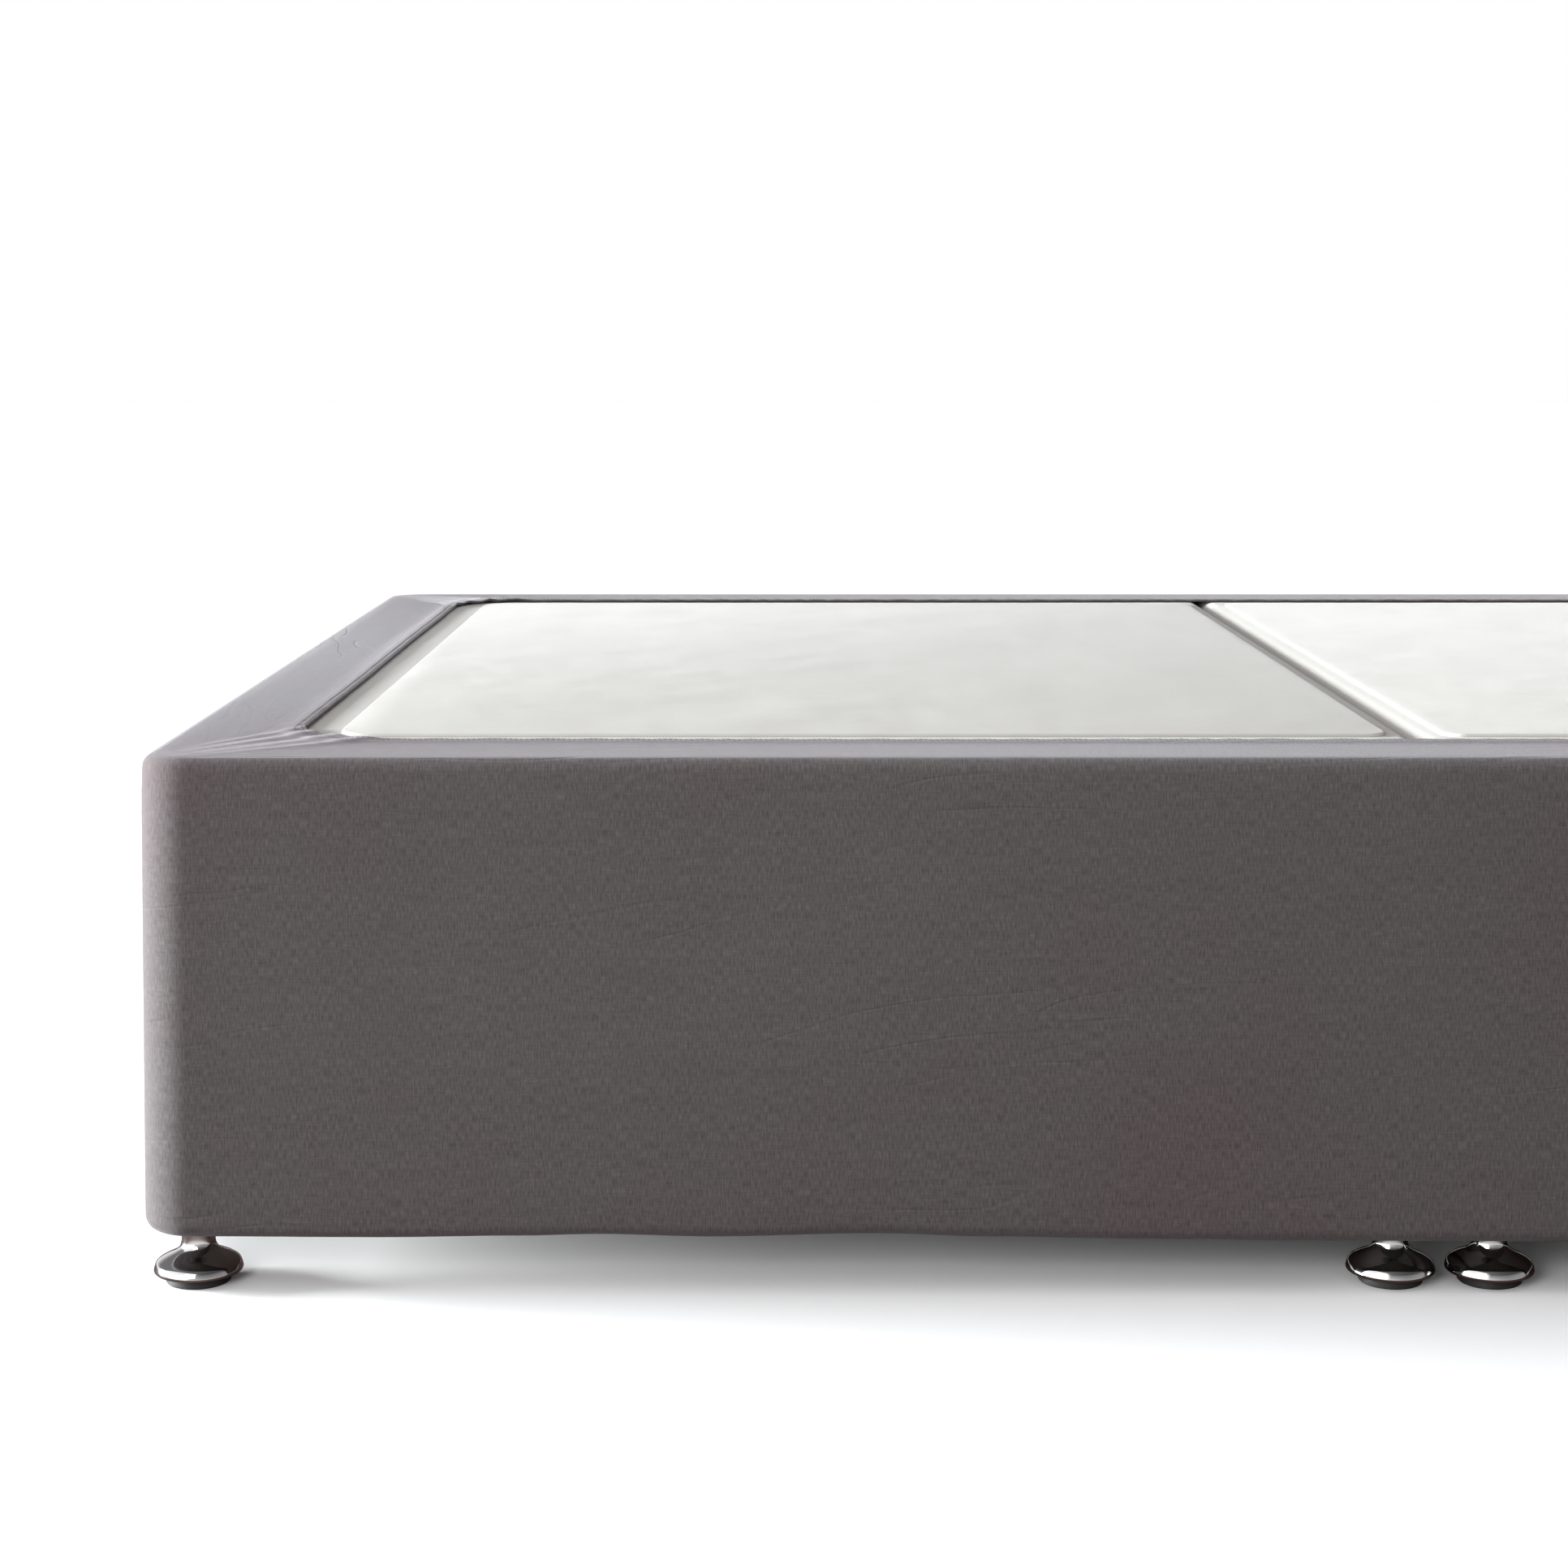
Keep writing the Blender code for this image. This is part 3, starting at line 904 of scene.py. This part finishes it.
def platform_material(weave, mottle):
    """Pale woven platform cloth of the divan base, a little slack."""
    material, tree, shader = new_material("platform cloth", 0.9, Sheen_Weight=0.1, Specular_IOR_Level=0.25)
    place = object_place(tree)
    threads = place_group(tree, weave, (-5, 1), Vector=place, Pitch=WEAVE_PITCH)
    patches = place_group(tree, mottle, (-5, 2), Vector=place, Broad=4.0, Fine=90.0, Fine_share=0.4)
    colour = colour_mix(tree, (-4, 0), patches, *PLATFORM_COLOURS)
    # Painted shade of the weave: darker in the gaps between the threads.
    shade = map_range(tree, (-4, 1), threads, 0.0, 1.0, 0.86, 1.04)
    colour = colour_mix(tree, (-2, 0), 1.0, colour, shade, "MULTIPLY")
    slack = noise_texture(tree, (-5, 4), place, scale=9.0, detail=2.0)
    soft = bump(tree, (-3, 4), slack, strength=0.6, depth=SLACK_DEPTH)
    surface = bump(tree, (-2, 3), threads, strength=0.5, depth=WEAVE_DEPTH, under=soft)
    connect(tree, shader, Base_Color=colour, Normal=surface)
    return material


def chrome_material(mottle):
    """Bright chrome with a faint uneven haze."""
    material, tree, shader = new_material("bright chrome", 0.07, 1.0)
    haze = place_group(tree, mottle, (-4, 0), Vector=object_place(tree), Broad=60.0, Fine=500.0, Fine_share=0.4)
    rough = map_range(tree, (-3, 0), haze, 0.35, 0.7, 0.045, 0.14)
    connect(tree, shader, Roughness=rough, Base_Color=colour_mix(tree, (-3, 2), haze, *CHROME_COLOURS))
    return material


def plastic_material(mottle):
    """Black plastic with light scuffs."""
    material, tree, shader = new_material("black plastic", 0.5)
    scuffs = place_group(tree, mottle, (-4, 0), Vector=object_place(tree), Broad=80.0, Fine=900.0, Fine_share=0.5)
    colour = colour_mix(tree, (-2, 0), scuffs, *PLASTIC_COLOURS)
    rough = map_range(tree, (-2, 1), scuffs, 0.3, 0.7, 0.38, 0.62)
    surface = bump(tree, (-2, 2), scuffs, strength=0.2, depth=SCUFF_DEPTH)
    connect(tree, shader, Base_Color=colour, Roughness=rough, Normal=surface)
    return material


# Stage, light and camera

def build_floor():
    """A wide floor that is pale to the camera, and dark as a source of light and where the chrome mirrors it under
    and near the bed: painted shade of the bed."""
    deselect_all()
    bpy.ops.mesh.primitive_plane_add(size=FLOOR_SIZE, location=(0, 0, 0))
    floor = bpy.context.object
    floor.name = "studio_floor"
    bpy.ops.object.transform_apply(location=True, rotation=True, scale=True)
    material, tree, shader = new_material("pale floor", 0.9, Specular_IOR_Level=0.1)
    place = object_place(tree)
    grain = noise_texture(tree, (-6, 2), place, scale=30.0, detail=3.0)
    pale = colour_mix(tree, (-4, 0), grain, *FLOOR_PALE)
    # Painted shade of the bed: under it and near its long sides, the chrome mirrors the floor's dark colour.
    split = add_node(tree, "ShaderNodeSeparateXYZ", (-5, 4), _0=place)
    aside = maths(tree, "ABSOLUTE", (-4, 4), split.outputs["Y"])
    shade = map_range(tree, (-3, 4), aside, BASE_HIGH.y, BASE_HIGH.y + PAINTED_BED_SHADE, 0.0, 1.0, eased=True)
    mirrored = colour_mix(tree, (-2, 2), shade, FLOOR_BOUNCE, FLOOR_MIRRORED)
    ray = add_node(tree, "ShaderNodeLightPath", (-6, -2)).outputs
    colour = colour_mix(tree, (-1, 0), ray["Is Diffuse Ray"], pale, FLOOR_BOUNCE)
    connect(tree, shader, Base_Color=colour_mix(tree, (0, 0), ray["Is Glossy Ray"], colour, mirrored))
    floor.data.materials.append(material)


def build_world():
    """White where the camera looks past the floor. The light comes from a pale room that is brightest at the front
    left, and the chrome mirrors one that is brightest low down on the left, with a window."""
    world = bpy.data.worlds.new("studio")
    bpy.context.scene.world = world
    world.use_nodes = True
    tree = world.node_tree
    tree.nodes.clear()
    way = add_node(tree, "ShaderNodeTexCoord", (0, 0)).outputs["Generated"]
    split = add_node(tree, "ShaderNodeSeparateXYZ", (1, 0), _0=way).outputs

    def brightness(row, table):
        return range_product(tree, (2, row), [(split[axis], *others) for axis, *others in table], eased=True)

    facing = add_node(
        tree, "ShaderNodeVectorMath", (1, 8), {"operation": "DOT_PRODUCT"}, _0=way, _1=MIRRORED_WINDOW,
    ).outputs["Value"]
    window = map_range(tree, (2, 8), facing, *MIRRORED_WINDOW_EDGE, 0.0, MIRRORED_WINDOW_STRENGTH, eased=True)
    mirrored = maths(tree, "ADD", (6, 4), brightness(4, MIRRORED_ROOM), window)
    ray = add_node(tree, "ShaderNodeLightPath", (6, -3)).outputs
    strength = value_mix(tree, (6, 0), ray["Is Glossy Ray"], brightness(0, ROOM_LIGHT), mirrored)
    room = add_node(tree, "ShaderNodeBackground", (7, 0), Strength=strength, Color=ROOM_COLOUR).outputs[0]
    white = add_node(tree, "ShaderNodeBackground", (7, 1), Strength=1.0, Color=WHITE).outputs[0]
    seen = add_node(tree, "ShaderNodeMixShader", (8, 0), _0=ray["Is Camera Ray"], _1=room, _2=white).outputs[0]
    add_node(tree, "ShaderNodeOutputWorld", (9, 0), _0=seen)


def add_light(data, toward, place=(0, 0, 0)):
    """Puts a light at a place, where it shines in this direction."""
    light = add_object(data.name, data)
    light.location = place
    light.rotation_euler = toward.to_track_quat("-Z", "Y").to_euler()


def build_lights():
    key = bpy.data.lights.new("key from the left", "SUN")
    key.energy = KEY_STRENGTH
    key.angle = KEY_SOFTNESS
    key.color = KEY_COLOUR
    across, down = KEY_DIRECTION
    level = math.cos(down)
    add_light(key, Vector((math.cos(across) * level, -math.sin(across) * level, -math.sin(down))))

    fill = bpy.data.lights.new("front fill", "AREA")
    fill.shape = "RECTANGLE"
    fill.size, fill.size_y = FILL_SIZE
    fill.energy = FILL_WATTS
    add_light(fill, Vector(FILL_TARGET) - Vector(FILL_PLACE), FILL_PLACE)


def build_camera():
    """A camera in front of the side. Its lens gives the photograph's scale at the middle of the side's face."""
    wrap_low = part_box("wrap")[0]
    data = bpy.data.cameras.new("camera")
    data.sensor_width = SENSOR_WIDTH
    drop = CAMERA_HEIGHT - BASE_MIDDLE
    depth = CAMERA_DISTANCE * math.cos(CAMERA_PITCH) + drop * math.sin(CAMERA_PITCH)
    data.lens = SENSOR_WIDTH * depth / (FACE_METRES_PER_PIXEL * PHOTO_PIXELS)
    data.shift_y = CAMERA_SHIFT_Y
    data.clip_end = CAMERA_REACH
    camera = add_object("camera", data)
    camera.location = (CAMERA_X, wrap_low.y - CAMERA_DISTANCE, CAMERA_HEIGHT)
    camera.rotation_euler = (math.radians(90) - CAMERA_PITCH, 0, 0)
    bpy.context.scene.camera = camera


def finish_piece(piece, material):
    piece.data.materials.clear()
    piece.data.materials.append(material)
    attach(piece, "root")


def main():
    build_camera()
    build_world()
    build_lights()
    build_floor()
    bpy.context.scene.view_settings.view_transform = "Standard"
    mottle = mottle_group()
    jersey = jersey_material(knit_group(), mottle, crease_group())
    thread = thread_material()
    platform = platform_material(weave_group(), mottle)
    chrome = chrome_material(mottle)
    plastic = plastic_material(mottle)

    wrap, stitch_lines = build_wrap()
    finish_piece(wrap, jersey)
    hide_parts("wrap")
    top_stitches = build_stitches("top_hem_stitches", stitch_lines["top"], 1)
    bottom_stitches = build_stitches("bottom_hem_stitches", stitch_lines["bottom"], -1)
    for stitches in (top_stitches, bottom_stitches):
        finish_piece(stitches, thread)

    foot_half = build_base_half("divan_foot_half", "base_foot_half")
    head_half = build_base_half("divan_head_half", "base_head_half")
    for half, node in ((foot_half, "base_foot_half"), (head_half, "base_head_half")):
        finish_piece(half, platform)
        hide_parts(node)
    for bell in copies_at_nodes(build_bell(), "bell_", "glide_"):
        finish_piece(bell, chrome)
    for pad in copies_at_nodes(build_pad(), "bell_pad_", "pad_"):
        finish_piece(pad, plastic)


main()
